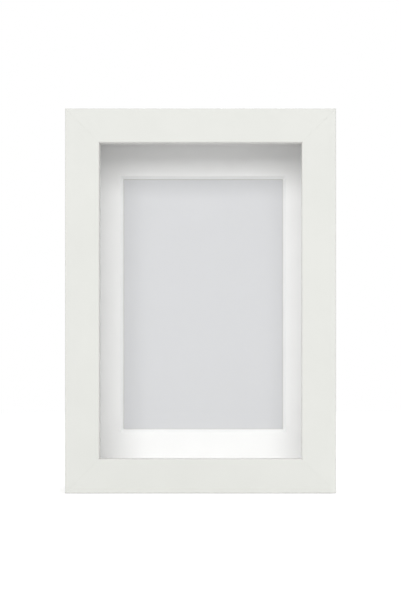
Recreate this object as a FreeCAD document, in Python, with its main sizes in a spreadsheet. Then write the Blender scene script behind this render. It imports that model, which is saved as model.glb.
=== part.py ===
import FreeCAD, Part
import math
import os

import Sketcher

# A deep box frame (shadow box) for a 10 x 15 cm picture, in millimetres.
# X runs across the frame, Y from its front to its back, and Z up. The origin is the middle of the
# surface that the frame stands on.

SIZES = {
    # moulding
    "frame_width": 119.0,
    "frame_height": 169.0,
    "frame_depth": 45.0,
    "face_width": 15.0,
    "lip_depth": 6.0,
    "wall_thickness": 8.0,
    "arris_radius": 0.5,
    # V-nails across the back of each mitre
    "nail_wing": 5.0,
    "nail_steel": 0.5,
    "nail_depth": 10.0,
    # what lies in the rebate, from the front
    "sheet_play": 0.5,
    "glazing_thickness": 2.0,
    "spacer_depth": 24.0,
    "spacer_thickness": 2.0,
    "mat_thickness": 1.6,
    "window_width": 73.3,
    "window_height": 115.2,
    "insert_thickness": 0.4,
    "back_thickness": 3.0,
    # bendable tabs
    "tab_steel": 0.4,
    "tab_width": 8.0,
    "tab_reach": 12.0,
    "tab_root": 5.0,
    "tab_slack": 0.1,
    "tab_spread": 84.0,
    # strap hangers
    "strap_width": 7.0,
    "strap_length": 20.0,
    "strap_steel": 0.7,
    "knuckle_bore": 2.0,
    "ring_wire": 1.6,
    "ring_width": 11.0,
    "ring_length": 12.0,
    "ring_corner": 2.0,
    "rivet_spacing": 10.0,
    "rivet_shank": 2.4,
    "rivet_head": 4.8,
    "rivet_head_height": 0.6,
    "rivet_recess": 0.8,
    "rivet_clearance": 0.05,
    "top_hinge_below_top": 40.0,
    "side_hinge_from_side": 26.0,
}
S = SIZES

# the planes that the sheets lie in, from the frame's front face backwards
FRAME_FRONT = -S["frame_depth"] / 2
FRAME_REAR = S["frame_depth"] / 2
GLAZING_FRONT = FRAME_FRONT + S["lip_depth"]
SPACER_FRONT = GLAZING_FRONT + S["glazing_thickness"]
MAT_FRONT = SPACER_FRONT + S["spacer_depth"]
INSERT_FRONT = MAT_FRONT + S["mat_thickness"]
BACK_FRONT = INSERT_FRONT + S["insert_thickness"]
BACK_REAR = BACK_FRONT + S["back_thickness"]
TAB_PLANE = BACK_REAR + S["tab_slack"]

SHEET_WIDTH = S["frame_width"] - 2 * S["wall_thickness"] - 2 * S["sheet_play"]
SHEET_HEIGHT = S["frame_height"] - 2 * S["wall_thickness"] - 2 * S["sheet_play"]
SHEET_MIDDLE = S["wall_thickness"] + SHEET_HEIGHT / 2

# the same as expressions, for what the spreadsheet drives
SHEET_WIDE = "(Sizes.frame_width - 2 * Sizes.wall_thickness - 2 * Sizes.sheet_play)"
SHEET_HIGH = "(Sizes.frame_height - 2 * Sizes.wall_thickness - 2 * Sizes.sheet_play)"
TABS_BEHIND_FRONT = (
    "(Sizes.lip_depth + Sizes.glazing_thickness + Sizes.spacer_depth + Sizes.mat_thickness"
    " + Sizes.insert_thickness + Sizes.back_thickness + Sizes.tab_slack)"
)

KNUCKLE_RADIUS = S["knuckle_bore"] / 2 + S["strap_steel"]
FIRST_RIVET = 6.0
X_AXIS = FreeCAD.Vector(1, 0, 0)
Y_AXIS = FreeCAD.Vector(0, 1, 0)
Z_AXIS = FreeCAD.Vector(0, 0, 1)

doc = FreeCAD.newDocument("shadow_box")
nodes = []


def make_sheet():
    """The spreadsheet that every sub-part is driven by: one aliased cell per size."""
    sheet = doc.addObject("Spreadsheet::Sheet", "Sizes")
    for row, (alias, number) in enumerate(SIZES.items(), start=1):
        sheet.set(f"A{row}", alias)
        sheet.set(f"B{row}", str(number))
        sheet.setAlias(f"B{row}", alias)
    doc.recompute()


def placed(x, y, z, axis=Z_AXIS, degrees=0.0):
    return FreeCAD.Placement(FreeCAD.Vector(x, y, z), FreeCAD.Rotation(axis, degrees))


def sub_part(obj, name, placement=None):
    """Names an object, puts it in place and lists it as a sub-part."""
    obj.Label = name
    if placement is not None:
        obj.Placement = placement
    nodes.append(obj)
    return obj


def origin_plane(body, role):
    return next(f for f in body.Origin.OriginFeatures if f.Role == role)


def new_sketch(body, role, name, offset=None):
    """An empty sketch on one of the body's origin planes, lifted off it by an expression."""
    sketch = body.newObject("Sketcher::SketchObject", name)
    sketch.AttachmentSupport = [(origin_plane(body, role), "")]
    sketch.MapMode = "FlatFace"
    if offset is not None:
        sketch.setExpression("AttachmentOffset.Base.z", offset)
    return sketch


def pin_point(sketch, geometry, end, across, up, start=(1.0, 1.0)):
    """Holds one end of an edge, or a circle's middle, at two expressions. None means on that axis."""
    for kind, axis_line, expression, value in (
        ("DistanceX", -2, across, start[0]),
        ("DistanceY", -1, up, start[1]),
    ):
        if expression is None:
            sketch.addConstraint(Sketcher.Constraint("PointOnObject", geometry, end, axis_line))
        else:
            index = sketch.addConstraint(Sketcher.Constraint(kind, -1, 1, geometry, end, value))
            sketch.setExpression(f"Constraints[{index}]", expression)


def polygon(sketch, corners):
    """A closed outline of straight edges whose corners are pairs of expressions.

    The corners start on a circle, so that no two coincide, and the constraints bring them to their places.
    """
    first = sketch.GeometryCount
    count = len(corners)
    start = FreeCAD.Vector(20, 20, 0)
    turns = [2 * math.pi * k / count for k in range(count)]
    ring = [start + FreeCAD.Vector(math.cos(turn), math.sin(turn), 0) * 10 for turn in turns]
    for k in range(count):
        sketch.addGeometry(Part.LineSegment(ring[k], ring[(k + 1) % count]))
    for k in range(count):
        sketch.addConstraint(Sketcher.Constraint("Coincident", first + k, 2, first + (k + 1) % count, 1))
    for k, (across, up) in enumerate(corners):
        pin_point(sketch, first + k, 1, across, up)


def circle(sketch, across, up, radius):
    """A circle whose middle and radius are expressions."""
    index = sketch.addGeometry(Part.Circle(FreeCAD.Vector(5, 5, 0), Z_AXIS, 1.0))
    pin_point(sketch, index, 3, across, up)
    size = sketch.addConstraint(Sketcher.Constraint("Radius", index, 1.0))
    sketch.setExpression(f"Constraints[{size}]", radius)


def pad(body, sketch, length, symmetric=False):
    feature = body.newObject("PartDesign::Pad", sketch.Name + "_pad")
    feature.Profile = sketch
    feature.setExpression("Length", length)
    if symmetric:
        feature.SideType = "Symmetric"
    doc.recompute()
    return feature


def pocket(body, sketch, length=None, reverse=False, symmetric=False):
    """Cuts a sketch into the body, to a depth or right through, and makes sure that it did cut."""
    before = body.Shape.Volume
    feature = body.newObject("PartDesign::Pocket", sketch.Name + "_pocket")
    feature.Profile = sketch
    feature.Reversed = reverse
    if symmetric:
        feature.SideType = "Symmetric"
    if length is None:
        feature.Type = "ThroughAll"
    else:
        feature.setExpression("Length", length)
    doc.recompute()
    if body.Shape.Volume >= before:
        raise RuntimeError(f"{feature.Name} cut nothing")
    return feature


def round_edges(body, radius, wanted):
    """Rounds each edge of the body's tip that wanted accepts."""
    base = body.Tip
    names = [f"Edge{k}" for k, edge in enumerate(base.Shape.Edges, start=1) if wanted(edge)]
    feature = body.newObject("PartDesign::Fillet", "rounding")
    feature.Base = (base, names)
    feature.setExpression("Radius", radius)
    doc.recompute()
    return feature


def rail(name, length, placement, tab_places):
    """One side of the moulding: X along it, Y backwards, Z from its outer face inwards."""
    body = doc.addObject("PartDesign::Body", name)
    section = new_sketch(body, "YZ_Plane", name + "_section")
    polygon(
        section,
        [
            (None, None),
            ("Sizes.frame_depth", None),
            ("Sizes.frame_depth", "Sizes.wall_thickness"),
            ("Sizes.lip_depth", "Sizes.wall_thickness"),
            ("Sizes.lip_depth", "Sizes.face_width"),
            (None, "Sizes.face_width"),
        ],
    )
    pad(body, section, length, symmetric=True)

    def front_arris(edge):
        box = edge.BoundBox
        return box.YMax < 1e-6 and box.XLength > 1

    round_edges(body, "Sizes.arris_radius", front_arris)

    mitre = new_sketch(body, "XZ_Plane", name + "_mitre")
    for side in ("", "-"):
        outer = f"{side}({length} / 2)"
        inner = f"{side}({length} / 2 - Sizes.face_width)"
        polygon(mitre, [(outer, None), (outer, "Sizes.face_width"), (inner, "Sizes.face_width")])
    pocket(body, mitre, symmetric=True)
    rail_nail_slots(body, name, length)
    rail_tab_slots(body, name, tab_places)
    return sub_part(body, name, placement)


def rail_nail_slots(body, name, length):
    """The cut that each V-nail's wing makes in the back of the rail."""
    slots = new_sketch(body, "XZ_Plane", name + "_nail_slots", "-Sizes.frame_depth")
    low = "(Sizes.wall_thickness - Sizes.nail_steel) / 2"
    high = "(Sizes.wall_thickness + Sizes.nail_steel) / 2"
    for side in ("", "-"):
        outer = f"{side}({length} / 2 - {low})"
        inner = f"{side}({length} / 2 - Sizes.wall_thickness / 2 - Sizes.nail_wing)"
        polygon(slots, [(inner, low), (outer, low), (outer, high), (inner, high)])
    pocket(body, slots, "Sizes.nail_depth", reverse=True)


def rail_tab_slots(body, name, tab_places):
    """The slots that the tabs' roots are pressed into, cut from the rebate's wall."""
    slots = new_sketch(body, "XY_Plane", name + "_tab_slots", "Sizes.wall_thickness")
    for place in tab_places:
        left = f"{place} - Sizes.tab_width / 2 - Sizes.tab_slack"
        right = f"{place} + Sizes.tab_width / 2 + Sizes.tab_slack"
        front = f"{TABS_BEHIND_FRONT} - Sizes.tab_slack / 2"
        rear = f"{TABS_BEHIND_FRONT} + Sizes.tab_steel + Sizes.tab_slack / 2"
        polygon(slots, [(left, front), (right, front), (right, rear), (left, rear)])
    pocket(body, slots, "Sizes.tab_root + Sizes.tab_slack")


# where each rail lies, and where its tabs are along it
RAILS = {
    "bottom_rail": ("Sizes.frame_width", placed(0, FRAME_FRONT, 0), ["0"]),
    "top_rail": ("Sizes.frame_width", placed(0, FRAME_FRONT, S["frame_height"], Y_AXIS, 180), ["0"]),
    "left_rail": (
        "Sizes.frame_height",
        placed(-S["frame_width"] / 2, FRAME_FRONT, S["frame_height"] / 2, Y_AXIS, 90),
        ["-Sizes.tab_spread / 2", "Sizes.tab_spread / 2"],
    ),
    "right_rail": (
        "Sizes.frame_height",
        placed(S["frame_width"] / 2, FRAME_FRONT, S["frame_height"] / 2, Y_AXIS, -90),
        ["-Sizes.tab_spread / 2", "Sizes.tab_spread / 2"],
    ),
}


def corner_v_nails():
    """Four V-shaped nails, each with one wing in either rail of a corner."""
    middle = S["wall_thickness"] / 2
    nails = []
    for k, (right, top) in enumerate([(1, 1), (-1, 1), (-1, -1), (1, -1)]):
        body = doc.addObject("PartDesign::Body", f"v_nail_{k + 1}")
        outline = new_sketch(body, "XZ_Plane", f"v_nail_{k + 1}_outline")
        half, tip = "Sizes.nail_steel / 2", "Sizes.nail_wing"
        polygon(
            outline,
            [
                (f"-{half}", f"-{half}"),
                (tip, f"-{half}"),
                (tip, half),
                (half, half),
                (half, tip),
                (f"-{half}", tip),
            ],
        )
        pad(body, outline, "Sizes.nail_depth")
        # the sketch plane faces the front, so the pad runs forwards from the frame's back
        body.Placement = placed(
            right * (S["frame_width"] / 2 - middle),
            FRAME_REAR,
            S["frame_height"] - middle if top > 0 else middle,
            Y_AXIS,
            {(-1, -1): 0, (-1, 1): 90, (1, 1): 180, (1, -1): 270}[right, top],
        )
        nails.append(body)
    group = doc.addObject("Part::Compound", "corner_v_nails")
    group.Links = nails
    sub_part(group, "corner_v_nails")


def flat_sheet(name, width, height, thickness, placement):
    """A plain rectangular sheet or strip, with its lower left front corner at the placement."""
    box = doc.addObject("Part::Box", name)
    box.setExpression("Length", width)
    box.setExpression("Width", thickness)
    box.setExpression("Height", height)
    return sub_part(box, name, placement)


def glazing_sheet():
    flat_sheet(
        "glazing_sheet",
        SHEET_WIDE,
        SHEET_HIGH,
        "Sizes.glazing_thickness",
        placed(-SHEET_WIDTH / 2, GLAZING_FRONT, S["wall_thickness"]),
    )


def spacers():
    """Four strips that stand on edge round the rebate: the side ones full height, the others between."""
    strip, low = S["spacer_thickness"], S["wall_thickness"]
    thick, deep = "Sizes.spacer_thickness", "Sizes.spacer_depth"
    between = f"{SHEET_WIDE} - 2 * Sizes.spacer_thickness"
    for name, z in (("spacer_bottom", low), ("spacer_top", low + SHEET_HEIGHT - strip)):
        flat_sheet(name, between, thick, deep, placed(strip - SHEET_WIDTH / 2, SPACER_FRONT, z))
    for name, x in (("spacer_left", -SHEET_WIDTH / 2), ("spacer_right", SHEET_WIDTH / 2 - strip)):
        flat_sheet(name, thick, SHEET_HIGH, deep, placed(x, SPACER_FRONT, low))


def centred_rectangle(sketch, width, height):
    """A rectangle about the sketch's origin, from two expressions."""
    left, right = f"-({width}) / 2", f"({width}) / 2"
    low, high = f"-({height}) / 2", f"({height}) / 2"
    polygon(sketch, [(left, low), (right, low), (right, high), (left, high)])


def window_mat():
    """A board with a window whose edges are cut at 45 degrees, wider at the front."""
    body = doc.addObject("PartDesign::Body", "window_mat")
    board = new_sketch(body, "XZ_Plane", "board")
    centred_rectangle(board, SHEET_WIDE, SHEET_HIGH)
    # the plane's normal points forwards, so the pad runs from the board's back to its front
    pad(body, board, "Sizes.mat_thickness")
    before = body.Shape.Volume
    rear = new_sketch(body, "XZ_Plane", "window_rear")
    centred_rectangle(rear, "Sizes.window_width", "Sizes.window_height")
    front = new_sketch(body, "XZ_Plane", "window_front", "Sizes.mat_thickness")
    bevel = "2 * Sizes.mat_thickness"
    centred_rectangle(front, f"Sizes.window_width + {bevel}", f"Sizes.window_height + {bevel}")
    cut = body.newObject("PartDesign::SubtractiveLoft", "window")
    cut.Profile = rear
    cut.Sections = [front]
    cut.Ruled = True
    doc.recompute()
    if body.Shape.Volume >= before:
        raise RuntimeError("the mat's window cut nothing")
    sub_part(body, "window_mat", placed(0, INSERT_FRONT, SHEET_MIDDLE))


def display_insert():
    flat_sheet(
        "display_insert",
        SHEET_WIDE,
        SHEET_HIGH,
        "Sizes.insert_thickness",
        placed(-SHEET_WIDTH / 2, INSERT_FRONT, S["wall_thickness"]),
    )


# each hanger's hinge line in the frame, and how far it is turned from hanging straight down
HANGERS = {
    "top": (0.0, S["frame_height"] - S["top_hinge_below_top"], 0),
    "side": (S["frame_width"] / 2 - S["side_hinge_from_side"], SHEET_MIDDLE, 90),
}


def rivet_places():
    """Where the rivets go through the back, in the frame's X and Z."""
    places = []
    for x, z, turn in HANGERS.values():
        for step in (FIRST_RIVET, FIRST_RIVET + S["rivet_spacing"]):
            angle = math.radians(turn)
            places.append((x - step * math.sin(angle), z - step * math.cos(angle)))
    return places


def back_panel():
    """The hardboard back, drilled for the rivets and recessed in front for their clinched ends."""
    body = doc.addObject("PartDesign::Body", "back_panel")
    board = new_sketch(body, "XZ_Plane", "back_board")
    centred_rectangle(board, SHEET_WIDE, SHEET_HIGH)
    pad(body, board, "Sizes.back_thickness")
    holes = new_sketch(body, "XZ_Plane", "rivet_holes")
    recesses = new_sketch(body, "XZ_Plane", "rivet_recesses", "Sizes.back_thickness")
    for x, z in rivet_places():
        across = None if abs(x) < 1e-9 else f"{x}"
        up = None if abs(z - SHEET_MIDDLE) < 1e-9 else f"{z - SHEET_MIDDLE}"
        circle(holes, across, up, "Sizes.rivet_shank / 2 + Sizes.rivet_clearance")
        circle(recesses, across, up, "Sizes.rivet_head / 2 + 2 * Sizes.rivet_clearance")
    pocket(body, holes, symmetric=True)
    pocket(body, recesses, "Sizes.rivet_recess")
    sub_part(body, "back_panel", placed(0, BACK_REAR, SHEET_MIDDLE))


def retaining_tab(name, rail_name, along):
    """A steel strip with its root in the rail and a rounded leaf that lies across the back panel."""
    body = doc.addObject("PartDesign::Body", name)
    outline = new_sketch(body, "XZ_Plane", name + "_outline")
    half = S["tab_width"] / 2
    root = -S["tab_root"]
    shoulder = S["tab_reach"] - half
    corners = [
        FreeCAD.Vector(-half, shoulder, 0),
        FreeCAD.Vector(-half, root, 0),
        FreeCAD.Vector(half, root, 0),
        FreeCAD.Vector(half, shoulder, 0),
    ]
    for start, end in zip(corners, corners[1:]):
        outline.addGeometry(Part.LineSegment(start, end))
    tip = Part.Circle(FreeCAD.Vector(0, shoulder, 0), Z_AXIS, half)
    outline.addGeometry(Part.ArcOfCircle(tip, 0, math.pi))
    for k in range(3):
        outline.addConstraint(Sketcher.Constraint("Coincident", k, 2, k + 1, 1))
    outline.addConstraint(Sketcher.Constraint("Coincident", 3, 2, 0, 1))
    for k, across, up in (
        (0, "-Sizes.tab_width / 2", "Sizes.tab_reach - Sizes.tab_width / 2"),
        (1, "-Sizes.tab_width / 2", "-Sizes.tab_root"),
        (2, "Sizes.tab_width / 2", "-Sizes.tab_root"),
        (3, "Sizes.tab_width / 2", "Sizes.tab_reach - Sizes.tab_width / 2"),
    ):
        pin_point(outline, k, 1, across, up, start=corners[k])
    middle = outline.addConstraint(Sketcher.Constraint("DistanceY", -1, 1, 3, 3, shoulder))
    outline.setExpression(f"Constraints[{middle}]", "Sizes.tab_reach - Sizes.tab_width / 2")
    pad(body, outline, "Sizes.tab_steel")
    _, home, _ = RAILS[rail_name]
    # the strip is drawn from its bend line, which lies where it leaves the rebate's wall
    local = placed(along, TAB_PLANE + S["tab_steel"] - FRAME_FRONT, S["wall_thickness"])
    sub_part(body, name, home.multiply(local))


def retaining_tabs():
    spread = S["tab_spread"] / 2
    retaining_tab("tab_bottom", "bottom_rail", 0)
    retaining_tab("tab_top", "top_rail", 0)
    retaining_tab("tab_left_upper", "left_rail", -spread)
    retaining_tab("tab_left_lower", "left_rail", spread)
    retaining_tab("tab_right_upper", "right_rail", spread)
    retaining_tab("tab_right_lower", "right_rail", -spread)


def hanger_placement(name):
    """A hanger's own frame: origin on the hinge line, Z along the strap away from its foot."""
    x, z, turn = HANGERS[name]
    return placed(x, BACK_REAR + KNUCKLE_RADIUS, z, Y_AXIS, turn)


def hanger_plate(name):
    """A steel strap whose upper end is rolled into a knuckle, drilled for its rivets."""
    box = doc.addObject("Part::Box", f"strap_{name}")
    box.setExpression("Length", "Sizes.strap_width")
    box.setExpression("Width", "Sizes.strap_steel")
    box.setExpression("Height", "Sizes.strap_length")
    box.Placement = placed(-S["strap_width"] / 2, -KNUCKLE_RADIUS, -S["strap_length"])
    roll = doc.addObject("Part::Cylinder", f"roll_{name}")
    roll.setExpression("Radius", "Sizes.knuckle_bore / 2 + Sizes.strap_steel")
    bore = doc.addObject("Part::Cylinder", f"knuckle_bore_{name}")
    bore.setExpression("Radius", "Sizes.knuckle_bore / 2")
    for cylinder in (roll, bore):
        cylinder.setExpression("Height", "Sizes.strap_width")
        cylinder.Placement = placed(-S["strap_width"] / 2, 0, 0, Y_AXIS, 90)
    strap = doc.addObject("Part::Fuse", f"rolled_strap_{name}")
    strap.Base, strap.Tool = box, roll
    cut = doc.addObject("Part::Cut", f"bored_strap_{name}")
    cut.Base, cut.Tool = strap, bore
    above_strap = 1.5 * S["strap_steel"] - KNUCKLE_RADIUS
    for step in (FIRST_RIVET, FIRST_RIVET + S["rivet_spacing"]):
        hole = doc.addObject("Part::Cylinder", f"strap_hole_{name}")
        hole.setExpression("Radius", "Sizes.rivet_shank / 2 + Sizes.rivet_clearance")
        hole.setExpression("Height", "2 * Sizes.strap_steel")
        hole.Placement = placed(0, above_strap, -step, X_AXIS, 90)
        drilled = doc.addObject("Part::Cut", f"drilled_strap_{name}")
        drilled.Base, drilled.Tool = cut, hole
        cut = drilled
    sub_part(cut, "hanger_plate_" + name, hanger_placement(name))


def hanger_ring(name):
    """A D-shaped wire ring: its bar runs through the knuckle and its bow hangs below."""
    body = doc.addObject("PartDesign::Body", "hanger_ring_" + name)
    spine = new_sketch(body, "XZ_Plane", f"ring_{name}_spine")
    half, corner, leg = S["ring_width"] / 2, S["ring_corner"], S["ring_length"] - S["ring_width"] / 2

    def point(x, z):
        return FreeCAD.Vector(x, z, 0)

    def arc(x, z, radius, start, end):
        return Part.ArcOfCircle(Part.Circle(point(x, z), Z_AXIS, radius), start, end)

    spine.addGeometry(Part.LineSegment(point(corner - half, 0), point(half - corner, 0)))
    spine.addGeometry(arc(half - corner, -corner, corner, 0, math.pi / 2))
    spine.addGeometry(Part.LineSegment(point(half, -corner), point(half, -leg)))
    spine.addGeometry(arc(0, -leg, half, math.pi, 2 * math.pi))
    spine.addGeometry(Part.LineSegment(point(-half, -leg), point(-half, -corner)))
    spine.addGeometry(arc(corner - half, -corner, corner, math.pi / 2, math.pi))
    # an arc's end 1 is where it starts, anticlockwise, and its end 2 is where it stops
    joined = ((0, 2, 1, 2), (1, 1, 2, 1), (2, 2, 3, 2), (3, 1, 4, 1), (4, 2, 5, 2), (5, 1, 0, 1))
    for one, end, other, start in joined:
        spine.addConstraint(Sketcher.Constraint("Tangent", one, end, other, start))
    spine.addConstraint(Sketcher.Constraint("PointOnObject", 0, 1, -1))
    spine.addConstraint(Sketcher.Constraint("PointOnObject", 0, 2, -1))
    spine.addConstraint(Sketcher.Constraint("PointOnObject", 3, 3, -2))
    spine.addConstraint(Sketcher.Constraint("Vertical", 2))
    spine.addConstraint(Sketcher.Constraint("Vertical", 4))
    for kind, place, start, expression in (
        ("Radius", (1,), corner, "Sizes.ring_corner"),
        ("Radius", (5,), corner, "Sizes.ring_corner"),
        ("Radius", (3,), half, "Sizes.ring_width / 2"),
        ("DistanceY", (3, 3, -1, 1), leg, "Sizes.ring_length - Sizes.ring_width / 2"),
    ):
        index = spine.addConstraint(Sketcher.Constraint(kind, *place, start))
        spine.setExpression(f"Constraints[{index}]", expression)
    section = new_sketch(body, "YZ_Plane", f"ring_{name}_section")
    circle(section, None, None, "Sizes.ring_wire / 2")
    doc.recompute()
    pipe = body.newObject("PartDesign::AdditivePipe", f"ring_{name}_wire")
    pipe.Profile = section
    pipe.Spine = (spine, [])
    doc.recompute()
    sub_part(body, "hanger_ring_" + name, hanger_placement(name))


def hanger_rivets():
    """Four tubular rivets: a flat head on the strap and a clinched end sunk in the back's front."""
    grip = "(Sizes.strap_steel + Sizes.back_thickness - Sizes.rivet_recess)"
    bore, shank, head = "Sizes.rivet_shank / 3", "Sizes.rivet_shank / 2", "Sizes.rivet_head / 2"
    rise = "Sizes.rivet_head_height"
    rivets = []
    for number, (x, z) in enumerate(rivet_places(), start=1):
        body = doc.addObject("PartDesign::Body", f"rivet_{number}")
        outline = new_sketch(body, "XY_Plane", f"rivet_{number}_outline")
        polygon(
            outline,
            [
                (bore, rise),
                (f"{head} - {rise} / 2", rise),
                (head, f"{rise} / 2"),
                (head, None),
                (shank, None),
                (shank, f"-{grip}"),
                (head, f"-{grip}"),
                (head, f"-{grip} - {rise}"),
                (bore, f"-{grip} - {rise}"),
            ],
        )
        turned = body.newObject("PartDesign::Revolution", f"rivet_{number}_turned")
        turned.Profile = outline
        turned.ReferenceAxis = (outline, ["V_Axis"])
        turned.Angle = 360
        body.Placement = placed(x, BACK_REAR + S["strap_steel"], z)
        rivets.append(body)
    group = doc.addObject("Part::Compound", "hanger_rivets")
    group.Links = rivets
    sub_part(group, "hanger_rivets")


def check_all():
    """Stops if any object failed to build, or any sub-part isn't a valid solid."""
    doc.recompute()
    for obj in doc.Objects:
        if "Invalid" in obj.State or "Error" in obj.State:
            raise RuntimeError(f"{obj.Name} failed: {obj.State}")
    for obj in nodes:
        if obj.Shape.isNull() or not obj.Shape.isValid() or not obj.Shape.Solids:
            raise RuntimeError(f"{obj.Label} isn't a valid solid")


def write_all():
    os.makedirs("parts", exist_ok=True)
    for obj in nodes:
        obj.Shape.exportStep(os.path.join("parts", f"{obj.Label}.step"))
        print(f"{obj.Label}: {len(obj.Shape.Solids)} solids, {obj.Shape.Volume:.1f} mm3")


make_sheet()
for rail_name, (rail_length, rail_placement, rail_tabs) in RAILS.items():
    rail(rail_name, rail_length, rail_placement, rail_tabs)
corner_v_nails()
glazing_sheet()
spacers()
window_mat()
display_insert()
back_panel()
retaining_tabs()
for hanger in HANGERS:
    hanger_plate(hanger)
    hanger_ring(hanger)
hanger_rivets()
check_all()
write_all()
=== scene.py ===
import math

import bmesh
import bpy
from mathutils import Matrix, Vector


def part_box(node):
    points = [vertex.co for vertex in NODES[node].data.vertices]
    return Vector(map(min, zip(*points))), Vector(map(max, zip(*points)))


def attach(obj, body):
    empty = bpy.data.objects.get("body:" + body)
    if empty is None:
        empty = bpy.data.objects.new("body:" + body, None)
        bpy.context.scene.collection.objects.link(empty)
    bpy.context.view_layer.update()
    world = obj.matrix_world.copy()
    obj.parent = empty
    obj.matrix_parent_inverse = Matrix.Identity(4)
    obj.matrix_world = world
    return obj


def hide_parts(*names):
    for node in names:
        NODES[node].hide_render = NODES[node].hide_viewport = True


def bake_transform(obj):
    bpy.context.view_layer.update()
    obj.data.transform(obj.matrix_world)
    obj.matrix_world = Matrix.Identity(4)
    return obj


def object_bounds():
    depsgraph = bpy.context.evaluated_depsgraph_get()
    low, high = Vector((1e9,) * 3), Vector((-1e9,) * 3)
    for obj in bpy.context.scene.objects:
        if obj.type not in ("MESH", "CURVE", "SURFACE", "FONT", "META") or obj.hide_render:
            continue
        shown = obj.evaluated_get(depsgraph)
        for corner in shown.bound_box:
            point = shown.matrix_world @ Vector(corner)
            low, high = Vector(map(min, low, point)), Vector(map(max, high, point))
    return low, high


# A deep white box frame, in metres: X across, Y from the front to the back, Z up.

MM = 0.001

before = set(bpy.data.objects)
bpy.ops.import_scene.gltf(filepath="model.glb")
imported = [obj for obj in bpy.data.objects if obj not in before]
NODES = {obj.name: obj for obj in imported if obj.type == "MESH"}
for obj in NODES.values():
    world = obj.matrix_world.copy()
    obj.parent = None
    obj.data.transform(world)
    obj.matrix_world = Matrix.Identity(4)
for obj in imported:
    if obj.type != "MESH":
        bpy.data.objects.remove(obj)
CAD_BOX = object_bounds()
UNDERSIDE = CAD_BOX[0][2]

# where the frame's own faces lie, read from the CAD nodes that touch them
BOTTOM_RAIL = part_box("bottom_rail")
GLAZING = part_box("glazing_sheet")
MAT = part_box("window_mat")
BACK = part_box("back_panel")
WIDTH = BOTTOM_RAIL[1].x - BOTTOM_RAIL[0].x
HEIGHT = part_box("top_rail")[1].z
FRONT, REAR = BOTTOM_RAIL[0].y, BOTTOM_RAIL[1].y
FACE = BOTTOM_RAIL[1].z
WALL = GLAZING[0].z
LIP_REAR = GLAZING[0].y
MIDDLE = Vector((0, 0, HEIGHT / 2))
# points and faces of a CAD node within this distance of a plane lie on it
ON_PLANE = 0.1 * MM


# ---------------------------------------------------------------- node graphs


class Graph:
    """A material's node tree, built by short calls that each return an output socket."""

    def __init__(self, name):
        self.material = bpy.data.materials.new(name)
        self.material.use_nodes = True
        self.nodes = self.material.node_tree.nodes
        self.links = self.material.node_tree.links
        self.surface = self.nodes["Principled BSDF"]
        self.place = self.nodes.new("ShaderNodeTexCoord").outputs["Object"]

    def feed(self, socket, value):
        if isinstance(value, bpy.types.NodeSocket):
            self.links.new(value, socket)
        elif isinstance(value, tuple) and len(value) == 3 and socket.type == "RGBA":
            socket.default_value = (*value, 1.0)
        else:
            socket.default_value = value

    def set(self, **values):
        """Sets the surface's sockets: a plain number or colour stays a constant on the shader itself."""
        for name, value in values.items():
            self.feed(self.surface.inputs[name.replace("_", " ")], value)
        return self.material

    def stretched(self, x, y, z):
        """The object's own coordinates, scaled along each axis."""
        node = self.nodes.new("ShaderNodeMapping")
        self.feed(node.inputs["Vector"], self.place)
        node.inputs["Scale"].default_value = (x, y, z)
        return node.outputs["Vector"]

    def axis(self, name):
        node = self.nodes.new("ShaderNodeSeparateXYZ")
        self.feed(node.inputs[0], self.place)
        return node.outputs[name]

    def noise(self, size, detail=4.0, roughness=0.5, place=None, distortion=0.0):
        """Noise whose features are about size across."""
        node = self.nodes.new("ShaderNodeTexNoise")
        self.feed(node.inputs["Vector"], place or self.place)
        node.inputs["Scale"].default_value = 1.0 / size
        node.inputs["Detail"].default_value = detail
        node.inputs["Roughness"].default_value = roughness
        node.inputs["Distortion"].default_value = distortion
        return node.outputs["Fac"]

    def cells(self, size, place=None):
        node = self.nodes.new("ShaderNodeTexVoronoi")
        self.feed(node.inputs["Vector"], place or self.place)
        node.inputs["Scale"].default_value = 1.0 / size
        return node.outputs["Distance"]

    def ramp(self, factor, low, high, dark, light):
        """A colour that goes from dark to light as the factor goes from low to high."""
        node = self.nodes.new("ShaderNodeValToRGB")
        self.feed(node.inputs["Fac"], factor)
        first, last = node.color_ramp.elements
        first.position, last.position = low, high
        first.color, last.color = (*dark, 1.0), (*light, 1.0)
        return node.outputs["Color"]

    def between(self, factor, low, high, start=0.0, end=1.0):
        """The factor's stretch from start to end, mapped onto low to high."""
        node = self.nodes.new("ShaderNodeMapRange")
        self.feed(node.inputs["Value"], factor)
        for name, value in (("From Min", start), ("From Max", end), ("To Min", low), ("To Max", high)):
            node.inputs[name].default_value = value
        return node.outputs["Result"]

    def maths(self, operation, one, other=0.0):
        node = self.nodes.new("ShaderNodeMath")
        node.operation = operation
        self.feed(node.inputs[0], one)
        self.feed(node.inputs[1], other)
        return node.outputs["Value"]

    def mixed(self, factor, one, other):
        node = self.nodes.new("ShaderNodeMix")
        node.data_type = "RGBA"
        self.feed(node.inputs["Factor"], factor)
        self.feed(node.inputs[6], one)
        self.feed(node.inputs[7], other)
        return node.outputs[2]

    def bump(self, height, depth, below=None):
        """Relief that is depth deep where height goes from 0 to 1."""
        node = self.nodes.new("ShaderNodeBump")
        node.inputs["Distance"].default_value = depth
        self.feed(node.inputs["Height"], height)
        if below is not None:
            self.feed(node.inputs["Normal"], below)
        return node.outputs["Normal"]


# ---------------------------------------------------------------- materials


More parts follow.
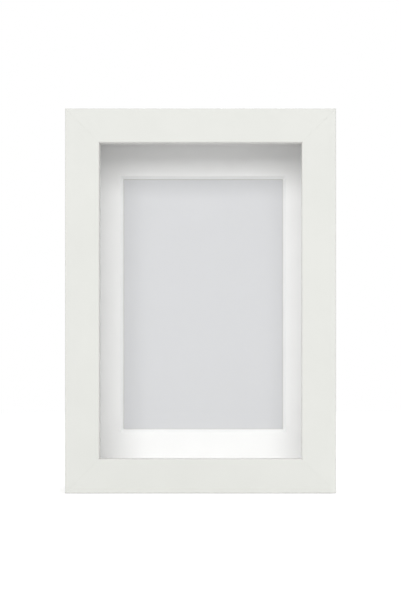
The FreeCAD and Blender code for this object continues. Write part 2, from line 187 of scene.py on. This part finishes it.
def foil(name, low, high):
    """The satin white foil round the moulding: nearly smooth, with a faint orange-peel."""
    g = Graph(name)
    peel = g.noise(1.3 * MM, detail=3.0)
    grain = g.noise(0.2 * MM, detail=2.0)
    patches = g.noise(24 * MM, detail=3.0)
    tone = g.ramp(patches, 0.3, 0.7, low, high)
    normal = g.bump(grain, 0.004 * MM, below=g.bump(peel, 0.012 * MM))
    rough = g.between(grain, 0.40, 0.50)
    return g.set(Base_Color=tone, Roughness=rough, Normal=normal, Specular_IOR_Level=0.4)


def fibreboard():
    """Bare fibreboard, sawn and sanded: tan, with short fibres, faint clouds and darker flecks."""
    g = Graph("raw_fibreboard")
    fibres = g.noise(0.6 * MM, detail=7.0, roughness=0.75)
    clouds = g.noise(5 * MM, detail=5.0, roughness=0.6)
    flecks = g.cells(1.9 * MM)
    tan = g.ramp(fibres, 0.30, 0.70, (0.235, 0.145, 0.078), (0.53, 0.385, 0.245))
    tone = g.mixed(g.between(clouds, 0.0, 0.55, start=0.35, end=0.65), tan, (0.33, 0.225, 0.135))
    tone = g.mixed(g.between(flecks, 0.35, 0.0, end=0.3), tone, (0.17, 0.10, 0.055))
    return g.set(Base_Color=tone, Roughness=0.92, Normal=g.bump(fibres, 0.09 * MM), Specular_IOR_Level=0.2)


def mat_paper():
    """The mat board's facing paper: white, with a fine tooth."""
    g = Graph("mat_paper")
    tooth = g.noise(0.42 * MM, detail=5.0, roughness=0.6)
    clouds = g.noise(9 * MM, detail=2.0)
    tone = g.ramp(clouds, 0.3, 0.7, (0.896, 0.893, 0.890), (0.911, 0.908, 0.905))
    return g.set(Base_Color=tone, Roughness=0.9, Normal=g.bump(tooth, 0.02 * MM), Specular_IOR_Level=0.2)


def mat_core():
    """The mat board's cut core: white pulp."""
    g = Graph("mat_core")
    pulp = g.noise(0.16 * MM, detail=5.0, roughness=0.7)
    tone = g.ramp(pulp, 0.2, 0.8, (0.872, 0.874, 0.872), (0.912, 0.914, 0.912))
    return g.set(Base_Color=tone, Roughness=0.95, Normal=g.bump(pulp, 0.02 * MM), Specular_IOR_Level=0.15)


def backing_paper_with_painted_shade():
    """The mat board's backing paper, grey, so it draws a thin dark line round the window: a real ply, made
    dark so that it also paints the shade line where the bevel meets the card.
    """
    g = Graph("backing_paper_with_painted_shade")
    fibres = g.noise(0.5 * MM, detail=6.0, roughness=0.65)
    tone = g.ramp(fibres, 0.25, 0.75, (0.60, 0.59, 0.57), (0.66, 0.65, 0.63))
    return g.set(Base_Color=tone, Roughness=0.92, Normal=g.bump(fibres, 0.02 * MM), Specular_IOR_Level=0.2)


def card():
    """The plain grey card behind the window, with faint long fibres."""
    g = Graph("grey_card")
    fibres = g.noise(0.5 * MM, detail=6.0, roughness=0.65, place=g.stretched(1, 1, 2.2))
    tone = g.ramp(fibres, 0.2, 0.8, (0.622, 0.626, 0.642), (0.642, 0.646, 0.662))
    return g.set(Base_Color=tone, Roughness=0.88, Normal=g.bump(fibres, 0.01 * MM), Specular_IOR_Level=0.2)


def spacer_board():
    """The white lined board of the spacer strips."""
    g = Graph("spacer_board")
    grain = g.noise(0.6 * MM, detail=4.0, place=g.stretched(1, 0.3, 1))
    tone = g.ramp(grain, 0.2, 0.8, (0.845, 0.845, 0.832), (0.868, 0.868, 0.855))
    return g.set(Base_Color=tone, Roughness=0.85, Normal=g.bump(grain, 0.02 * MM), Specular_IOR_Level=0.2)


SCREEN_DEPTH = 0.1 * MM


def hardboard(name, screen_pitch=None):
    """Brown hardboard: pressed fibres and dark flecks, and on one side the print of the press's screen."""
    g = Graph(name)
    fibres = g.noise(0.8 * MM, detail=7.0, roughness=0.72, distortion=0.6)
    flecks = g.cells(1.7 * MM)
    brown = g.ramp(fibres, 0.28, 0.74, (0.125, 0.068, 0.034), (0.290, 0.176, 0.094))
    tone = g.mixed(g.between(flecks, 0.24, 0.02, end=0.5), brown, (0.06, 0.032, 0.016))
    normal = g.bump(fibres, 0.05 * MM)
    if screen_pitch:
        turn = 2 * math.pi / screen_pitch
        waves = [g.maths("SINE", g.maths("MULTIPLY", g.axis(axis), turn)) for axis in "XZ"]
        screen = g.maths("MULTIPLY", *waves)
        tone = g.mixed(g.between(screen, 0.42, 0.0, start=-1.0), tone, (0.07, 0.038, 0.02))
        normal = g.bump(screen, SCREEN_DEPTH, below=normal)
    rough = g.between(fibres, 0.58, 0.8)
    return g.set(Base_Color=tone, Roughness=rough, Normal=normal, Specular_IOR_Level=0.35)


def plated(name, color, roughness, brush=(1, 1, 1)):
    """Plated steel, with fine drawing lines and cloudy patches of dullness."""
    g = Graph(name)
    lines = g.noise(0.12 * MM, detail=3.0, place=g.stretched(*brush))
    clouds = g.noise(2.2 * MM, detail=4.0)
    tone = g.ramp(clouds, 0.25, 0.75, tuple(0.86 * c for c in color), color)
    drawn = g.between(lines, roughness - 0.06, roughness + 0.05)
    rough = g.maths("ADD", drawn, g.between(clouds, 0.05, -0.03))
    return g.set(Base_Color=tone, Metallic=1.0, Roughness=rough, Normal=g.bump(lines, 0.004 * MM))


# the share of plain glass's reflection that the pane keeps
COATING = 0.4


def clear_glass():
    """A clear pane, which reflects a little, and more at a glancing angle."""
    g = Graph("clear_glass")
    g.nodes.remove(g.surface)
    clear = g.nodes.new("ShaderNodeBsdfTransparent")
    clear.inputs["Color"].default_value = (0.992, 0.993, 0.992, 1.0)
    gloss = g.nodes.new("ShaderNodeBsdfGlossy")
    gloss.inputs["Roughness"].default_value = 0.005
    fresnel = g.nodes.new("ShaderNodeFresnel")
    fresnel.inputs["IOR"].default_value = 1.5
    mix = g.nodes.new("ShaderNodeMixShader")
    g.feed(mix.inputs["Fac"], g.maths("MULTIPLY", fresnel.outputs["Fac"], COATING))
    g.feed(mix.inputs[1], clear.outputs["BSDF"])
    g.feed(mix.inputs[2], gloss.outputs["BSDF"])
    g.feed(g.nodes["Material Output"].inputs["Surface"], mix.outputs["Shader"])
    return g.material


FOIL = foil("white_foil", (0.586, 0.591, 0.563), (0.600, 0.605, 0.577))
# the lip's own faces, round the opening, are paler than the front: painted light, a lighter copy of the
# foil that lifts the shade inside the opening
LIP_FOIL_WITH_PAINTED_LIGHT = foil("lip_foil_with_painted_light", (0.745, 0.735, 0.715), (0.760, 0.750, 0.730))
RAW_BOARD = fibreboard()
PAPER = mat_paper()
CORE = mat_core()
BACKING_WITH_PAINTED_SHADE = backing_paper_with_painted_shade()
CARD = card()
SPACER = spacer_board()
SMOOTH_BOARD = hardboard("hardboard_smooth")
SCREEN_BOARD = hardboard("hardboard_screen", screen_pitch=2.0 * MM)
ZINC = plated("tab_zinc", (0.56, 0.57, 0.58), 0.30, brush=(1, 1, 0.08))
NICKEL = plated("nickel", (0.68, 0.65, 0.595), 0.20, brush=(1, 1, 0.1))
BRIGHT = plated("nail_steel", (0.46, 0.455, 0.45), 0.3)
GLASS = clear_glass()


TABS = [name for name in NODES if name.startswith("tab_")]


# ---------------------------------------------------------------- making pieces


def finish_mesh(piece, crease=40):
    """Smooth faces, sharp where the surface turns, and flats that stay flat beside small rounds."""
    mesh = piece.data
    mesh.polygons.foreach_set("use_smooth", [True] * len(mesh.polygons))
    mesh.set_sharp_from_angle(angle=math.radians(crease))
    weighted = piece.modifiers.new("flat_faces", "WEIGHTED_NORMAL")
    weighted.keep_sharp = True
    weighted.weight = 100


def new_piece(name, bm, materials):
    bmesh.ops.recalc_face_normals(bm, faces=bm.faces)
    mesh = bpy.data.meshes.new(name)
    bm.to_mesh(mesh)
    bm.free()
    for material in materials:
        mesh.materials.append(material)
    piece = bpy.data.objects.new(name, mesh)
    bpy.context.scene.collection.objects.link(piece)
    return piece


SAME_POINT = 0.001 * MM


def baked(piece):
    """Works the piece's modifiers into its mesh, and merges points that coincide."""
    bpy.context.view_layer.update()
    graph = bpy.context.evaluated_depsgraph_get()
    mesh = bpy.data.meshes.new_from_object(piece.evaluated_get(graph), depsgraph=graph)
    piece.modifiers.clear()
    piece.data = mesh
    bm = bmesh.new()
    bm.from_mesh(mesh)
    bmesh.ops.remove_doubles(bm, verts=bm.verts, dist=SAME_POINT)
    bmesh.ops.recalc_face_normals(bm, faces=bm.faces)
    bm.to_mesh(mesh)
    bm.free()
    return piece


def cut(piece, cutters):
    """Takes the cutters' shapes out of the piece, then removes the cutters."""
    for cutter in cutters:
        tool = piece.modifiers.new("cut", "BOOLEAN")
        tool.operation, tool.solver, tool.object = "DIFFERENCE", "EXACT", cutter
    baked(piece)
    for cutter in cutters:
        bpy.data.objects.remove(cutter)
    return piece


def node_cutter(name):
    """A loose copy of a CAD node's shape, to cut its seat with."""
    bm = bmesh.new()
    bm.from_mesh(NODES[name].data)
    bmesh.ops.remove_doubles(bm, verts=bm.verts, dist=SAME_POINT)
    return new_piece("cutter", bm, [RAW_BOARD])


def arc(middle, radius, start, end, steps):
    """Points on an arc, between two angles in degrees."""
    angles = [math.radians(start + (end - start) * k / steps) for k in range(steps + 1)]
    return [(middle[0] + radius * math.cos(a), middle[1] + radius * math.sin(a)) for a in angles]


def loft(bm, rings, strips, closed=False):
    """Joins rings of points by quads. strips gives each strip's material, from its point to the next."""
    rows = [[bm.verts.new(point) for point in ring] for ring in rings]
    pairs = list(zip(rows, rows[1:]))
    if closed:
        pairs.append((rows[-1], rows[0]))
    count = len(rows[0])
    for one, other in pairs:
        for k in range(count):
            face = bm.faces.new((one[k], one[(k + 1) % count], other[(k + 1) % count], other[k]))
            face.material_index = strips[k]
    return rows


# ---------------------------------------------------------------- the moulding

ARRIS = 0.5 * MM
SAWN_EDGE = 0.12 * MM
SAWN_STEPS = 3
MITRE_EASE = 0.045 * MM
MITRE_GAP = 0.004 * MM
FOIL_STRIP, BOARD_STRIP, LIP_STRIP_WITH_PAINTED_LIGHT = 0, 1, 2


def moulding_section(inset):
    """The rail's section as (distance in from the frame's outside, Y), and each strip's material.

    The plain foil and its paler copy meet half way round the arris beside the opening; the paler copy is
    painted light on the lip's shaded faces.
    """
    arris, sawn = ARRIS - inset, SAWN_EDGE - inset
    corners = (
        (arc((SAWN_EDGE, REAR - SAWN_EDGE), sawn, 90, 180, SAWN_STEPS), FOIL_STRIP),
        (arc((ARRIS, FRONT + ARRIS), arris, 180, 270, 8), FOIL_STRIP),
        (arc((FACE - ARRIS, FRONT + ARRIS), arris, 270, 315, 4)[:-1], FOIL_STRIP),
        # from here round the lip the paler foil paints light into the lip's shade
        (arc((FACE - ARRIS, FRONT + ARRIS), arris, 315, 360, 4), LIP_STRIP_WITH_PAINTED_LIGHT),
        (arc((FACE - SAWN_EDGE, LIP_REAR - SAWN_EDGE), sawn, 0, 90, SAWN_STEPS), LIP_STRIP_WITH_PAINTED_LIGHT),
        ([(WALL - inset, LIP_REAR - inset)], BOARD_STRIP),
        (arc((WALL - SAWN_EDGE, REAR - SAWN_EDGE), sawn, 0, 90, SAWN_STEPS), BOARD_STRIP),
    )
    points = [point for run, _ in corners for point in run]
    strips = [strip for run, strip in corners for _ in run]
    return points, strips


# each side's direction outwards, and the direction along it
SIDES = {
    "bottom": (Vector((0, 0, -1)), Vector((1, 0, 0))),
    "top": (Vector((0, 0, 1)), Vector((1, 0, 0))),
    "left": (Vector((-1, 0, 0)), Vector((0, 0, 1))),
    "right": (Vector((1, 0, 0)), Vector((0, 0, 1))),
}


def rail(side):
    """One mitred rail, eased along the mitre, so that a hairline shows where two rails meet."""
    node = side + "_rail"
    outward, along = SIDES[side]
    half_length, half_across = (WIDTH / 2, HEIGHT / 2) if along.x else (HEIGHT / 2, WIDTH / 2)

    def section(end, inset, back):
        """The section at one end of the rail, set in all round by inset and short of the mitre by back."""
        points = []
        for u, y in moulding_section(inset)[0]:
            edge = MIDDLE + outward * (half_across - u) + along * end * (half_length - u - back)
            points.append(edge + Vector((0, y, 0)))
        return points

    bm = bmesh.new()
    _, strips = moulding_section(0.0)
    rows = loft(
        bm,
        [
            section(-1, MITRE_EASE, MITRE_GAP),
            section(-1, 0.0, MITRE_GAP + MITRE_EASE),
            section(1, 0.0, MITRE_GAP + MITRE_EASE),
            section(1, MITRE_EASE, MITRE_GAP),
        ],
        strips,
    )
    for row in (rows[0], rows[-1]):
        bm.faces.new(row).material_index = BOARD_STRIP
    piece = new_piece(side + "_moulding", bm, [FOIL, RAW_BOARD, LIP_FOIL_WITH_PAINTED_LIGHT])
    cut(piece, [node_cutter(name) for name in ("corner_v_nails", *TABS)])
    finish_mesh(piece)
    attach(piece, "frame")
    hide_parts(node)


# ---------------------------------------------------------------- the mat

PAPER_PLY = 0.15 * MM
BACKING_PLY = 0.3 * MM
CUT_EDGE = 0.04 * MM
CORNERS = ((-1, -1), (1, -1), (1, 1), (-1, 1))


def window_mat():
    """A board with a bevelled window: white paper in front, a white core, and backing paper behind."""
    low, high = MAT
    middle = (low + high) / 2
    outer_x, outer_z = (high.x - low.x) / 2, (high.z - low.z) / 2
    front, rear = low.y, high.y
    rear_points = [v.co for v in NODES["window_mat"].data.vertices if abs(v.co.y - rear) < ON_PLANE]
    window = [p for p in rear_points if abs(p.x) < outer_x - ON_PLANE]
    half_x = max(p.x for p in window)
    half_z = max(p.z for p in window) - middle.z

    def rectangle(x, z, y):
        return [Vector((side_x * x, y, middle.z + side_z * z)) for side_x, side_z in CORNERS]

    def bevel(depth):
        """The window's outline at a depth behind the mat's front face; the cut slopes at 45 degrees."""
        grown = rear - (front + depth)
        return rectangle(half_x + grown, half_z + grown, front + depth)

    bm = bmesh.new()
    paper, core, backing = 0, 1, 2
    rings = [
        (rectangle(outer_x, outer_z, front), paper),
        (rectangle(half_x + rear - front + CUT_EDGE, half_z + rear - front + CUT_EDGE, front), paper),
        (bevel(CUT_EDGE), paper),
        (bevel(PAPER_PLY), core),
        # the grey backing ply at the window's inner edge also paints the shade line where the bevel meets
        # the card
        (bevel(rear - front - BACKING_PLY), backing),
        (rectangle(half_x, half_z, rear), backing),
        (rectangle(outer_x, outer_z, rear), backing),
        (rectangle(outer_x, outer_z, rear - BACKING_PLY), core),
        (rectangle(outer_x, outer_z, front + PAPER_PLY), paper),
    ]
    rows = [[bm.verts.new(point) for point in ring] for ring, _ in rings]
    for k, (_, material) in enumerate(rings):
        one, other = rows[k], rows[(k + 1) % len(rows)]
        for j in range(4):
            face = bm.faces.new((one[j], one[(j + 1) % 4], other[(j + 1) % 4], other[j]))
            face.material_index = material
    piece = new_piece("bevelled_mat", bm, [PAPER, CORE, BACKING_WITH_PAINTED_SHADE])
    finish_mesh(piece, crease=20)
    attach(piece, "mat")
    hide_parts("window_mat")


# ---------------------------------------------------------------- strips, tabs and hangers


# where the lines along a strip run, as shares of its half width
STRIP_LINES = (-1, -0.94, -0.5, 0, 0.5, 0.94, 1)
# where a strip narrows to nothing, points closer than this become one
TIP_POINT = 0.01 * MM
# a strip's edges that turn by more than this many degrees are eased
EASED_FROM = 50


def strip_piece(name, rows, across, thickness, edge, material, cutters=()):
    """Bent sheet steel from rows of (middle, half width), with its thickness, holes and eased edges."""
    bm = bmesh.new()
    grid = [[bm.verts.new(middle + across * half * c) for c in STRIP_LINES] for middle, half in rows]
    for one, other in zip(grid, grid[1:]):
        for k in range(len(STRIP_LINES) - 1):
            bm.faces.new((one[k], one[k + 1], other[k + 1], other[k]))
    bmesh.ops.remove_doubles(bm, verts=bm.verts, dist=TIP_POINT)
    piece = new_piece(name, bm, [material])
    body = piece.modifiers.new("sheet", "SOLIDIFY")
    body.thickness, body.offset, body.use_even_offset = thickness, 0.0, True
    cut(baked(piece), cutters)
    eased = piece.modifiers.new("eased", "BEVEL")
    eased.width, eased.segments, eased.limit_method = edge, 2, "ANGLE"
    eased.angle_limit = math.radians(EASED_FROM)
    return baked(piece)


TAB_ROOT_LINE = 0.2 * MM
TAB_BEND = 1.4 * MM
TAB_BEND_STEPS = 8
TAB_LEAF_STEPS = 4
TAB_EDGE = 0.06 * MM
TIP_STEPS = 12


def tab(name):
    """A thin steel leaf with a round tip and its root in its slot, with close rows across it where the real
    tab bends up.
    """
    outward, along = SIDES[name.split("_")[1]]
    low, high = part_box(name)
    middle, size = (low + high) / 2, high - low
    half_across = (HEIGHT if along.x else WIDTH) / 2
    bend = MIDDLE + outward * (half_across - WALL) + along * (middle - MIDDLE).dot(along)
    bend.y = middle.y
    half = abs(size.dot(along)) / 2
    length = abs(size.dot(outward))
    root = (middle - bend).dot(outward) + length / 2
    shoulder = length - root - half
    stations = [-root, -root / 2, -TAB_ROOT_LINE]
    stations += [TAB_BEND * k / TAB_BEND_STEPS for k in range(TAB_BEND_STEPS + 3)]
    stations += [shoulder * k / TAB_LEAF_STEPS for k in range(2, TAB_LEAF_STEPS + 1)]
    rows = [(bend - outward * at, half) for at in stations]
    for k in range(1, TIP_STEPS + 1):
        turn = math.pi / 2 * k / TIP_STEPS
        rows.append((bend - outward * (shoulder + half * math.sin(turn)), half * math.cos(turn)))
    piece = strip_piece(name + "_leaf", rows, along, size.y, TAB_EDGE, ZINC)
    finish_mesh(piece)
    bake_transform(piece)
    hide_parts(name)


SHEET_STEEL = 0.7 * MM
STRAP_CORNER = 2.2 * MM
CORNER_STEPS = 8
STRAP_EDGE = 0.12 * MM
FOOT_STEPS = 6
# how many degrees the strap's end curls round the ring's bar
CURL_END = 296
CURL_STEPS = 22


class Hanger:
    """A strap hanger's own frame: its hinge line, the way down its strap and the way across it."""

    def __init__(self, name, down):
        self.name, self.down = name, Vector(down)
        self.across = Vector((0, 1, 0)).cross(self.down)
        low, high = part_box("hanger_plate_" + name)
        middle = (low + high) / 2
        length = abs((high - low).dot(self.down))
        self.outer = (high.y - low.y) / 2
        self.half = abs((high - low).dot(self.across)) / 2
        self.hinge = middle - self.down * (length / 2 - self.outer)
        self.foot = length - self.outer

    def at(self, across, out, down):
        """A place given by its distances from the hinge line: across the strap, out and down."""
        return self.hinge + self.across * across + Vector((0, out, 0)) + self.down * down


HOLE_RADIUS = 1.25 * MM
# how far the two rivets lie from the hinge line
RIVET_STEPS = (6 * MM, 16 * MM)
TOP_HANGER = Hanger("top", (0, 0, -1))
SIDE_HANGER = Hanger("side", (-1, 0, 0))


def strap(hanger):
    """A strap curled round the ring's bar, with round corners at its foot and two rivet holes."""
    radius = hanger.outer - SHEET_STEEL / 2
    rows = []
    for k in range(CORNER_STEPS, -1, -1):
        turn = math.pi / 2 * k / CORNER_STEPS
        down = hanger.foot - STRAP_CORNER * (1 - math.sin(turn))
        rows.append((hanger.at(0, -radius, down), hanger.half - STRAP_CORNER * (1 - math.cos(turn))))
    for k in range(FOOT_STEPS - 1, -1, -1):
        rows.append((hanger.at(0, -radius, hanger.foot * k / FOOT_STEPS), hanger.half))
    for k in range(1, CURL_STEPS + 1):
        turn = math.radians(CURL_END * k / CURL_STEPS)
        rows.append((hanger.at(0, -radius * math.cos(turn), -radius * math.sin(turn)), hanger.half))
    holes = [hole(hanger.at(0, -radius, step)) for step in RIVET_STEPS]
    name = f"{hanger.name}_strap"
    piece = strip_piece(name, rows, hanger.across, SHEET_STEEL, STRAP_EDGE, NICKEL, cutters=holes)
    finish_mesh(piece)
    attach(piece, "back")
    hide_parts("hanger_plate_" + hanger.name)


def hole(place):
    """A cutter for a rivet's hole, along Y."""
    bm = bmesh.new()
    bmesh.ops.create_cone(
        bm,
        cap_ends=True,
        segments=36,
        radius1=HOLE_RADIUS,
        radius2=HOLE_RADIUS,
        depth=4 * SHEET_STEEL,
        matrix=Matrix.Translation(place) @ Matrix.Rotation(math.pi / 2, 4, "X"),
    )
    return new_piece("cutter", bm, [NICKEL])


RING_CORNER = 2 * MM
RING_CORNER_STEPS = 10
BOW_STEPS = 48
WIRE_ROUNDNESS = 5
BUTT_GAP = 0.1 * MM


def ring(hanger):
    """A wire bent to a D: the two ends meet in the middle of the bar, inside the knuckle."""
    low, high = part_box("hanger_ring_" + hanger.name)
    wire = (high.y - low.y) / 2
    half = abs((high - low).dot(hanger.across)) / 2 - wire
    leg = abs((high - low).dot(hanger.down)) - 2 * wire - half
    corner = half - RING_CORNER
    outline = [(BUTT_GAP, 0)]
    outline += arc((corner, RING_CORNER), RING_CORNER, -90, 0, RING_CORNER_STEPS)
    outline += arc((0, leg), half, 0, 180, BOW_STEPS)
    outline += arc((-corner, RING_CORNER), RING_CORNER, 180, 270, RING_CORNER_STEPS)
    outline.append((-BUTT_GAP, 0))
    curve = bpy.data.curves.new(hanger.name + "_ring", "CURVE")
    curve.dimensions = "3D"
    curve.bevel_depth, curve.bevel_resolution = wire, WIRE_ROUNDNESS
    curve.use_fill_caps = True
    line = curve.splines.new("POLY")
    line.points.add(len(outline) - 1)
    for point, (across, down) in zip(line.points, outline):
        point.co = (*hanger.at(across, 0, down), 1)
    line.use_smooth = True
    curve.materials.append(NICKEL)
    piece = bpy.data.objects.new(hanger.name + "_ring", curve)
    bpy.context.scene.collection.objects.link(piece)
    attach(piece, "ring_" + hanger.name)
    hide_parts("hanger_ring_" + hanger.name)


RIVET_BORE, RIVET_SHANK, RIVET_HEAD = 0.8 * MM, 1.2 * MM, 2.4 * MM
RIVET_BORE_DEPTH = 0.4 * MM
DOME = ((1.5 * MM, 0.93), (1.95 * MM, 0.75))
CLINCH_FOOT = (1.6 * MM, 1.1 * MM)
ROLLED, ROUNDED, UNDERCUT = 0.3, 0.32, 0.4
RIVET_TURNS = 40


def rivet_outline(head_top, clinch):
    """Half a rivet's section as (distance from its axis, Y), from its bore round to its clinched end.

    ROLLED, ROUNDED and UNDERCUT, and the heights in DOME, are shares of the head's height.
    """
    seat = BACK[1].y + SHEET_STEEL
    rise = head_top - seat
    grip_end = clinch + rise
    roll, round_edge = ROLLED * rise, ROUNDED * rise
    outline = [(RIVET_BORE, seat - RIVET_BORE_DEPTH)]
    outline += arc((RIVET_BORE + roll, head_top - roll), roll, 180, 80, 4)
    outline += [(radius, seat + share * rise) for radius, share in DOME]
    outline += arc((RIVET_HEAD - round_edge, seat + round_edge), round_edge, 50, -60, 5)
    outline += [(RIVET_HEAD - UNDERCUT * rise, seat), (RIVET_SHANK, seat)]
    outline += [(RIVET_SHANK, grip_end), (RIVET_HEAD - roll, grip_end)]
    outline += arc((RIVET_HEAD - roll, grip_end - roll), roll, 60, -80, 5)
    outline += [(radius, clinch) for radius in CLINCH_FOOT]
    outline.append((RIVET_BORE, clinch + roll))
    return outline


def rivets():
    """Tubular rivets: a domed head with a rolled mouth on the strap, clinched into the back's front."""
    low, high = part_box("hanger_rivets")
    outline = rivet_outline(high.y, low.y)
    bm = bmesh.new()
    for hanger in (TOP_HANGER, SIDE_HANGER):
        for step in RIVET_STEPS:
            middle = hanger.at(0, 0, step)
            rings = []
            for k in range(RIVET_TURNS):
                spin = 2 * math.pi * k / RIVET_TURNS
                out = Vector((math.cos(spin), 0, math.sin(spin)))
                rings.append([Vector((middle.x, y, middle.z)) + out * r for r, y in outline])
            loft(bm, rings, [0] * len(outline), closed=True)
    piece = new_piece("rivets", bm, [NICKEL])
    finish_mesh(piece, crease=50)
    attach(piece, "back")
    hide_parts("hanger_rivets")


# ---------------------------------------------------------------- CAD nodes that stay


def dress(node, *materials, pick=None):
    """Gives a CAD node its materials; pick says which of them a polygon takes."""
    mesh = NODES[node].data
    mesh.materials.clear()
    for material in materials:
        mesh.materials.append(material)
    for polygon in mesh.polygons:
        polygon.material_index = pick(polygon) if pick else 0


def back_side(polygon):
    """Only the back's rear face shows the press screen's print."""
    return int(polygon.normal.y > 0.9 and polygon.center.y > BACK[1].y - ON_PLANE)


def kept_nodes():
    """The CAD nodes that are shown as they are."""
    dress("corner_v_nails", BRIGHT)
    dress("glazing_sheet", GLASS)
    for side in SIDES:
        dress("spacer_" + side, SPACER)
    dress("display_insert", CARD)
    dress("back_panel", SMOOTH_BOARD, SCREEN_BOARD, pick=back_side)


# ---------------------------------------------------------------- studio

FLOOR_RADIUS = 4.0
FLOOR_GAP = 0.05 * MM
# how far out the floor starts to fade, and where it has become the background
FLOOR_NEAR, FLOOR_FAR = 0.30, 0.75
# how much light the floor adds of its own where it is looked at
FLOOR_LIFT = 0.30
# the background's strength as a fill and in mirrored light; where it is looked at, it is 1
FILL = 0.48
MIRRORED = 0.75


def studio_floor():
    """A pale floor that fades into the background further out, where it is looked at or mirrored."""
    g = Graph("floor")
    path = g.nodes.new("ShaderNodeLightPath")
    seen, mirrored = path.outputs["Is Camera Ray"], path.outputs["Is Glossy Ray"]
    spread = g.nodes.new("ShaderNodeVectorMath")
    spread.operation = "LENGTH"
    g.feed(spread.inputs[0], g.place)
    fade = g.between(spread.outputs["Value"], 0.0, 1.0, start=FLOOR_NEAR, end=FLOOR_FAR)
    g.set(Base_Color=(0.86, 0.86, 0.86), Roughness=0.9, Specular_IOR_Level=0.1)
    g.set(Emission_Color=(1.0, 1.0, 1.0), Emission_Strength=g.maths("MULTIPLY", seen, FLOOR_LIFT))
    white = g.nodes.new("ShaderNodeEmission")
    g.feed(white.inputs["Strength"], g.between(seen, MIRRORED, 1.0))
    mix = g.nodes.new("ShaderNodeMixShader")
    g.feed(mix.inputs["Fac"], g.maths("MULTIPLY", fade, g.maths("ADD", seen, mirrored)))
    g.feed(mix.inputs[1], g.surface.outputs["BSDF"])
    g.feed(mix.inputs[2], white.outputs["Emission"])
    g.feed(g.nodes["Material Output"].inputs["Surface"], mix.outputs["Shader"])
    bm = bmesh.new()
    under = Matrix.Translation((0, 0, UNDERSIDE - FLOOR_GAP))
    bmesh.ops.create_circle(bm, cap_ends=True, radius=FLOOR_RADIUS, segments=96, matrix=under)
    floor = new_piece("floor", bm, [g.material])


def lamp(name, place, aim, width, height, power):
    light = bpy.data.lights.new(name, "AREA")
    light.shape, light.size, light.size_y, light.energy = "RECTANGLE", width, height, power
    holder = bpy.data.objects.new(name, light)
    holder.location = place
    holder.rotation_euler = (Vector(aim) - Vector(place)).to_track_quat("-Z", "Y").to_euler()
    bpy.context.scene.collection.objects.link(holder)
    return holder


def around(azimuth, elevation, distance):
    """A place round the object's middle; azimuth 0 is straight in front, and turns to the right."""
    a, e = math.radians(azimuth), math.radians(elevation)
    return MIDDLE + distance * Vector((math.sin(a) * math.cos(e), -math.cos(a) * math.cos(e), math.sin(e)))


# the lamps in front, which nothing mirrors: (azimuth, elevation, distance), (width, height), power
FRONT_LAMPS = {
    "key": ((-3, 19, 5.0), (4.80, 2.50), 196.0),
    "left_fill": ((-55, 10, 2.5), (1.0, 1.0), 3.5),
    "right_fill": ((55, 10, 2.5), (1.0, 1.0), 4.5),
}


def lights():
    """A wide soft lamp in front, with weak ones beside it, overhead and behind."""
    for name, (where, size, power) in FRONT_LAMPS.items():
        lamp(name, around(*where), MIDDLE, *size, power).visible_glossy = False
    lamp("overhead", (0, 0, 1.9), (0, 0, 0), 1.6, 1.6, 5.0)
    lamp("rear_fill", around(165, 35, 1.7), MIDDLE, 1.0, 1.0, 12.0)


def white_room():
    """The background: white where it is looked at, dimmer in mirrored light, and dimmer still as a fill."""
    world = bpy.data.worlds.new("white_room")
    bpy.context.scene.world = world
    world.use_nodes = True
    nodes, links = world.node_tree.nodes, world.node_tree.links
    path = nodes.new("ShaderNodeLightPath")
    strength = FILL
    for ray, extra in (("Is Camera Ray", 1.0 - FILL), ("Is Glossy Ray", MIRRORED - FILL)):
        share = nodes.new("ShaderNodeMath")
        share.operation = "MULTIPLY_ADD"
        links.new(path.outputs[ray], share.inputs[0])
        share.inputs[1].default_value = extra
        if isinstance(strength, float):
            share.inputs[2].default_value = strength
        else:
            links.new(strength, share.inputs[2])
        strength = share.outputs["Value"]
    nodes["Background"].inputs["Color"].default_value = (1, 1, 1, 1)
    links.new(strength, nodes["Background"].inputs["Strength"])
    bpy.context.scene.view_settings.view_transform = "Standard"


CAMERA_RIGHT = 22.8 * MM
CAMERA_BELOW_MIDDLE = 19.9 * MM
CAMERA_DISTANCE = 608 * MM
CAMERA_LENS = 83.0
CAMERA_SHIFT = (-0.0865, 0.076)


def camera():
    """A level camera square to the front, with its picture shifted instead of its aim turned."""
    data = bpy.data.cameras.new("camera")
    data.sensor_width, data.lens = 36.0, CAMERA_LENS
    data.shift_x, data.shift_y = CAMERA_SHIFT
    data.clip_start, data.clip_end = 0.01, 20.0
    holder = bpy.data.objects.new("camera", data)
    holder.location = (CAMERA_RIGHT, FRONT - CAMERA_DISTANCE, MIDDLE.z - CAMERA_BELOW_MIDDLE)
    holder.rotation_euler = (math.pi / 2, 0, 0)
    bpy.context.scene.collection.objects.link(holder)
    bpy.context.scene.camera = holder


camera()
lights()
white_room()
studio_floor()
for side in SIDES:
    rail(side)
window_mat()
for name in TABS:
    tab(name)
for hanger in (TOP_HANGER, SIDE_HANGER):
    strap(hanger)
    ring(hanger)
rivets()
kept_nodes()
